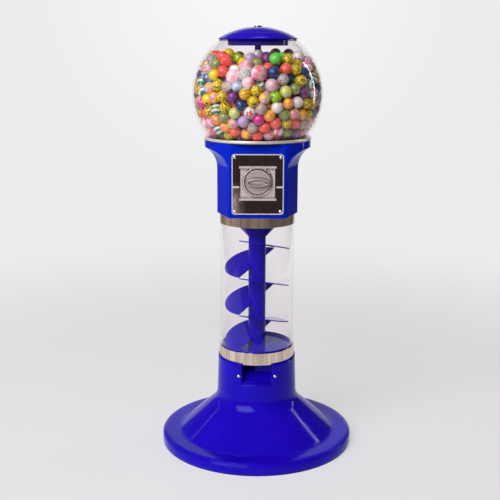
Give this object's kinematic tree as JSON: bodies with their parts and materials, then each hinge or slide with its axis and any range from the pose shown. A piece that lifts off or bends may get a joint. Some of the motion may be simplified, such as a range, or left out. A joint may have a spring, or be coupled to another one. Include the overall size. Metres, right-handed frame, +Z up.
{
  "type": "gumball machine",
  "caption": "Tall coin-operated gumball machine: clear globe of bouncy balls, coin knob, clear spiral ramp tube and flared round base.",
  "frame": {"origin": "middle of the base on the ground", "axes": "+Z up along the tie rod, front faces -Y, +X to the right of a person facing the front"},
  "size_m": [0.4669, 0.467, 1.0048],
  "materials": {
    "blue_plastic": "gloss",
    "clear_plastic": "clear",
    "steel_trim": "brushed",
    "cast_metal": "satin",
    "bright_metal": "polished",
    "plated_steel": "plated",
    "hopper_plastic": "satin",
    "ballast": "painted",
    "ball_rubber": "mixed colours"
  },
  "bodies": {
    "stand": {"base_shell": "blue_plastic", "outlet_tray": "blue_plastic", "outlet_chute": "blue_plastic", "spiral_floor": "blue_plastic", "spiral_column": "blue_plastic", "ramp_1": "blue_plastic", "ramp_2": "blue_plastic", "ramp_3": "blue_plastic", "ramp_4": "blue_plastic", "ramp_5": "blue_plastic", "ramp_6": "blue_plastic", "head_housing": "blue_plastic", "rod_sleeve": "blue_plastic", "clear_tube": "clear_plastic", "globe": "clear_plastic", "lower_band": "steel_trim", "upper_band": "steel_trim", "face_plate": "steel_trim", "mech_front": "cast_metal", "globe_ring": "bright_metal", "outlet_screws": "bright_metal", "face_screws": "bright_metal", "mech_body": "plated_steel", "coin_tray": "plated_steel", "centre_rod": "plated_steel", "rod_nuts": "plated_steel", "drop_cover": "plated_steel", "hopper": "hopper_plastic", "drop_tube": "hopper_plastic", "ballast_plate": "ballast", "bouncy_balls": "ball_rubber"},
    "knob": {"coin_knob": "cast_metal", "knob_shaft": "plated_steel", "coin_wheel": "plated_steel", "drive_pinion": "plated_steel"},
    "wheel": {"product_wheel": "hopper_plastic"},
    "lid": {"lid": "blue_plastic"},
    "lock": {"lid_lock": "bright_metal"}
  },
  "joints": [
    {"name": "wheel_spin", "type": "hinge", "parent": "stand", "child": "wheel", "pos_m": [0, 0, 0.692], "axis": [0, 0, 1], "continuous": true},
    {"name": "knob_turn", "type": "hinge", "parent": "stand", "child": "knob", "pos_m": [0, -0.11, 0.66], "axis": [0, 1, 0], "continuous": true},
    {"name": "lid_lift", "type": "slide", "parent": "stand", "child": "lid", "axis": [0, 0, 1], "range_m": [0, 0.08]},
    {"name": "lock_turn", "type": "hinge", "parent": "lid", "child": "lock", "pos_m": [0, 0, 0.985], "axis": [0, 0, 1], "range_deg": [0, 90]}
  ],
  "couplings": [
    {"joint": "knob_turn", "follows": "wheel_spin", "ratio": 6}
  ]
}
